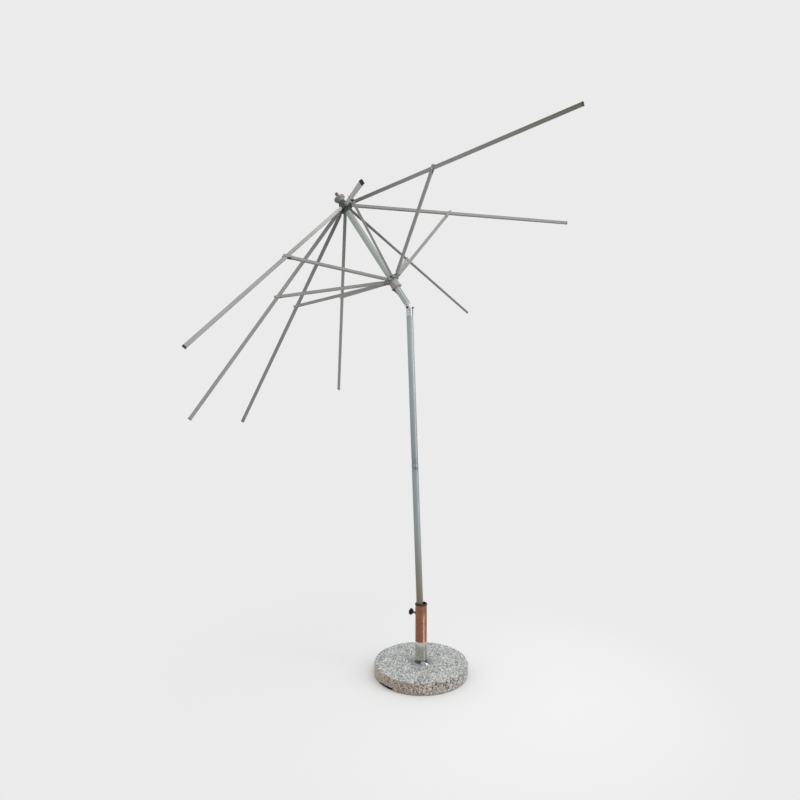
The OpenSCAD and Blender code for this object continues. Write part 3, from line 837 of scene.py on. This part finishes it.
# %% [markdown]
# ## Floor and light
#
# A plain pale floor lets the frame stand out. It is a wide sheet that takes the object's shadow near the
# base and fades into the room's own grey far out, so that no horizon shows. To the camera and in the metals
# it is pale, but it throws back little light, so the undersides of the ribs stay dark, as they do over a
# real paved terrace. The ground under the disc is painted dark, a painted shadow, so the hand grip under
# the rim shows as a dark slot.

# %% Lay the floor
pale = "#ebebeb"
near_tone = "#e2e2e2"
thrown_back = "#706e6a"
# Painted shadow on the ground under the disc
painted_disc_shadow = "#24211d"
floor_side = 60
# Distances from the middle of the disc, in metres
dark_to = 0.215
lit_from = 0.222
fade_from = 0.35
fade_to = 1.6

bpy.ops.mesh.primitive_plane_add(size=floor_side, location=(0, 0, 0))
floor = bpy.context.object
floor.name = "studio_floor"
ground, sheet = finish("pale_studio_floor", Roughness=0.9, Specular_IOR_Level=0.0)
place = add(ground, "ShaderNodeTexCoord")
path = add(ground, "ShaderNodeLightPath")
shown = {}
for part, seen_tone in {"near": near_tone, "far": pale}.items():
    shown[part] = add(
        ground,
        "ShaderNodeMix",
        settings={"data_type": "RGBA"},
        values={6: linear(seen_tone), 7: linear(thrown_back)},
        links={0: path.outputs["Is Diffuse Ray"]},
    )
distance = add(
    ground,
    "ShaderNodeVectorMath",
    settings={"operation": "LENGTH"},
    links={0: place.outputs["Object"]},
)
covered = add(
    ground,
    "ShaderNodeMapRange",
    values={"From Min": dark_to, "From Max": lit_from},
    links={"Value": distance.outputs["Value"]},
)
paint = add(
    ground,
    "ShaderNodeMix",
    settings={"data_type": "RGBA"},
    values={6: linear(painted_disc_shadow)},
    links={0: covered.outputs[0], 7: shown["near"].outputs[2]},
)
ground.node_tree.links.new(paint.outputs[2], sheet.inputs["Base Color"])
fade_out = add(
    ground,
    "ShaderNodeMapRange",
    settings={"interpolation_type": "SMOOTHSTEP"},
    values={"From Min": fade_from, "From Max": fade_to},
    links={"Value": distance.outputs["Value"]},
)
glow = add(ground, "ShaderNodeEmission", links={"Color": shown["far"].outputs[2]})
blend = add(
    ground,
    "ShaderNodeMixShader",
    links={0: fade_out.outputs[0], 1: sheet.outputs[0], 2: glow.outputs[0]},
)
ground.node_tree.links.new(blend.outputs[0], ground.node_tree.nodes["Material Output"].inputs["Surface"])
floor.data.materials.append(ground)
print("floor", floor_side, "m wide, fading out by", fade_to, "m")

# %% [markdown]
# An even pale dome gives most of the light, a little brighter overhead, as on a cloudy day. What the
# camera and the metals see of the room is kept apart from that: pale walls and a darker ceiling, which
# gives the mirror metals something to show. The direction's own height, from -1 to 1, tells wall from
# ceiling.

# %% Light the room
ceiling_tone = "#7d7f82"
horizon_light = "#ececec"
overhead_light = "#ffffff"
ceiling_from = 0.55
ceiling_full = 0.8

room = bpy.data.worlds.new("pale_room")
bpy.context.scene.world = room
room.use_nodes = True
sky = room.node_tree.nodes["Background"]
place = add(room, "ShaderNodeTexCoord")
height = add(room, "ShaderNodeSeparateXYZ", links={"Vector": place.outputs["Generated"]})
ceiling = add(
    room,
    "ShaderNodeMapRange",
    settings={"interpolation_type": "SMOOTHSTEP"},
    values={"From Min": ceiling_from, "From Max": ceiling_full},
    links={"Value": height.outputs["Z"]},
)
seen = add(
    room,
    "ShaderNodeMix",
    settings={"data_type": "RGBA"},
    values={6: linear(pale), 7: linear(ceiling_tone)},
    links={0: ceiling.outputs[0]},
)
cast = add(
    room,
    "ShaderNodeMix",
    settings={"data_type": "RGBA"},
    values={6: linear(horizon_light), 7: linear(overhead_light)},
    links={0: height.outputs["Z"]},
)
path = add(room, "ShaderNodeLightPath")
light = add(
    room,
    "ShaderNodeMix",
    settings={"data_type": "RGBA"},
    links={0: path.outputs["Is Diffuse Ray"], 6: seen.outputs[2], 7: cast.outputs[2]},
)
room.node_tree.links.new(light.outputs[2], sky.inputs["Color"])
print("room: walls", pale, "ceiling", ceiling_tone)

# %% [markdown]
# Three weak lamps do the rest. A large one high on the right models the forms, and a tall strip on the
# right draws a bright line down every tube. A small card near the foot does that for the steel sleeve. It
# is linked to the sleeve alone, because the polished stone would mirror it in views from behind.


# %% Hang the lamps
def soft_lamp(name, at, target, width, height, power):
    data = bpy.data.lights.new(name, "AREA")
    data.shape = "RECTANGLE"
    data.size = width
    data.size_y = height
    data.energy = power
    lamp = bpy.data.objects.new(name, data)
    bpy.context.scene.collection.objects.link(lamp)
    lamp.location = at
    lamp.rotation_euler = (Vector(target) - Vector(at)).to_track_quat("-Z", "Y").to_euler()
    lamp.visible_camera = False
    print(name, power, "W")
    return lamp


soft_lamp("key_lamp", at=(2.6, -0.9, 5.0), target=(-0.1, 0, 0.9), width=4.4, height=4.4, power=60)
soft_lamp("strip_lamp", at=(3.0, 0.05, 1.2), target=(0, 0, 1.2), width=0.8, height=2.6, power=24)
low_card = soft_lamp(
    "low_card", at=(0.217, -0.059, 0.14), target=(0.021, -0.018, 0.14), width=0.036, height=0.16, power=0.2
)
sleeve_only = bpy.data.collections.new("sleeve_only")
sleeve_only.objects.link(nodes["stand_tube"])
low_card.light_linking.receiver_collection = sleeve_only
bpy.context.scene.view_settings.view_transform = "Standard"
